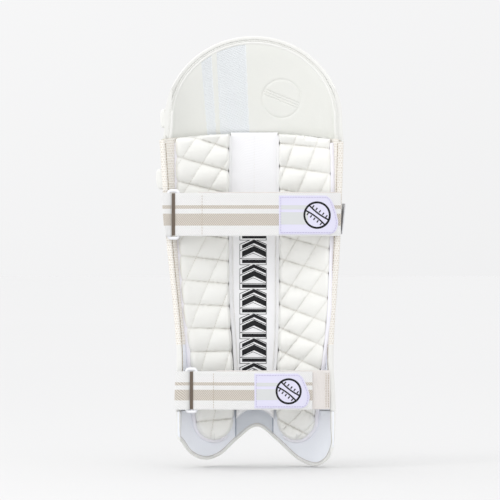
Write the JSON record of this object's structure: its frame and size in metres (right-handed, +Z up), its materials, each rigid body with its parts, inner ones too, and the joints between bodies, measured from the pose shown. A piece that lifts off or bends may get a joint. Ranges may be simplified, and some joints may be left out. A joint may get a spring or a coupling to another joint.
{
  "type": "cricket leg pad",
  "caption": "Quilted leg pad with a domed knee flap, padded bolsters either side of a shin strip, mesh side walls, an arched instep and striped straps closed through rings.",
  "frame": {"origin": "on the axis of the leg channel, level with the lowest point of the instep lobes", "axes": "+Z up the leg towards the knee, +Y forward through the pad's face, +X to the right seen from behind"},
  "size_m": [0.2951, 0.123, 0.6481],
  "materials": {
    "white_pu": "satin",
    "quilted_pu": "satin",
    "flap_pu": "satin",
    "lining_pu": "matte",
    "centre_pu": "satin",
    "grey_pu": "matte",
    "patch_pu": "satin",
    "binding_tape": "matte",
    "spacer_mesh": "matte",
    "striped_webbing": "matte",
    "plain_webbing": "matte",
    "loop_pile": "matte",
    "hook_tape": "matte",
    "foam": "matte",
    "cane": "satin",
    "stiffener": "matte",
    "white_plastic": "gloss"
  },
  "bodies": {
    "shin_shell": {"front_cover": "white_pu", "shin_foam": "foam", "shin_lining": "lining_pu", "left_wing_mesh": "spacer_mesh", "right_wing_mesh": "spacer_mesh", "left_side_lining": "lining_pu", "right_side_lining": "lining_pu", "left_rim_binding": "spacer_mesh", "right_rim_binding": "spacer_mesh", "cane_rods": "cane", "face_rib_1": "white_pu", "face_rib_2": "white_pu", "face_rib_3": "white_pu", "face_rib_4": "white_pu", "face_rib_5": "white_pu", "face_rib_6": "white_pu", "face_rib_7": "white_pu", "low_knee_roll": "white_pu", "high_knee_roll": "white_pu", "left_bolster_foam": "foam", "left_bolster_cover": "quilted_pu", "left_bolster_welt": "binding_tape", "right_bolster_foam": "foam", "right_bolster_cover": "quilted_pu", "right_bolster_welt": "binding_tape", "centre_pad_foam": "foam", "centre_pad_cover": "centre_pu", "spine_webbing": "plain_webbing", "strap_reinforcement": "grey_pu", "upper_strap_base": "striped_webbing", "upper_loop_pile": "loop_pile", "upper_ring_anchor": "striped_webbing", "lower_strap_base": "striped_webbing", "lower_loop_pile": "loop_pile", "lower_ring_anchor": "striped_webbing"},
    "top_flap": {"top_flap_cover": "white_pu", "top_flap_stiffener": "stiffener", "top_flap_foam": "foam", "top_flap_lining": "flap_pu", "top_flap_binding": "white_pu", "top_flap_roll": "white_pu"},
    "instep_flap": {"instep_cover": "white_pu", "instep_foam": "foam", "instep_left_lining": "lining_pu", "instep_arch_lining": "lining_pu", "instep_right_lining": "lining_pu", "instep_binding": "white_pu", "instep_ribs": "white_pu"},
    "upper_ring_loop": {"upper_ring": "white_plastic", "upper_strap_fold": "striped_webbing"},
    "upper_tail": {"upper_strap_tail": "striped_webbing", "upper_hook_pad": "hook_tape", "upper_strap_patch": "patch_pu"},
    "lower_ring_loop": {"lower_ring": "white_plastic", "lower_strap_fold": "striped_webbing"},
    "lower_tail": {"lower_strap_tail": "striped_webbing", "lower_hook_pad": "hook_tape", "lower_strap_patch": "patch_pu"}
  },
  "joints": [
    {"name": "knee_fold", "type": "hinge", "parent": "shin_shell", "child": "top_flap", "pos_m": [0, 0.062, 0.5], "axis": [1, 0, 0], "range_deg": [-30, 0], "stiffness_Nm_per_rad": 0.8, "springref_deg": 2.86},
    {"name": "instep_fold", "type": "hinge", "parent": "shin_shell", "child": "instep_flap", "pos_m": [0, 0.062, 0.084], "axis": [1, 0, 0], "range_deg": [0, 25], "stiffness_Nm_per_rad": 0.8, "springref_deg": -3.44},
    {"name": "upper_ring_swing", "type": "hinge", "parent": "shin_shell", "child": "upper_ring_loop", "pos_m": [-0.12905, -0.03, 0.3775], "axis": [0, 0, 1], "range_deg": [-25, 0]},
    {"name": "upper_tail_peel", "type": "hinge", "parent": "upper_ring_loop", "child": "upper_tail", "pos_m": [-0.11455, -0.0348, 0.3775], "axis": [0, 0, 1], "range_deg": [-150, 0]},
    {"name": "lower_ring_swing", "type": "hinge", "parent": "shin_shell", "child": "lower_ring_loop", "pos_m": [-0.10215, -0.03, 0.115], "axis": [0, 0, 1], "range_deg": [-25, 0]},
    {"name": "lower_tail_peel", "type": "hinge", "parent": "lower_ring_loop", "child": "lower_tail", "pos_m": [-0.08765, -0.0348, 0.115], "axis": [0, 0, 1], "range_deg": [-150, 0]}
  ]
}
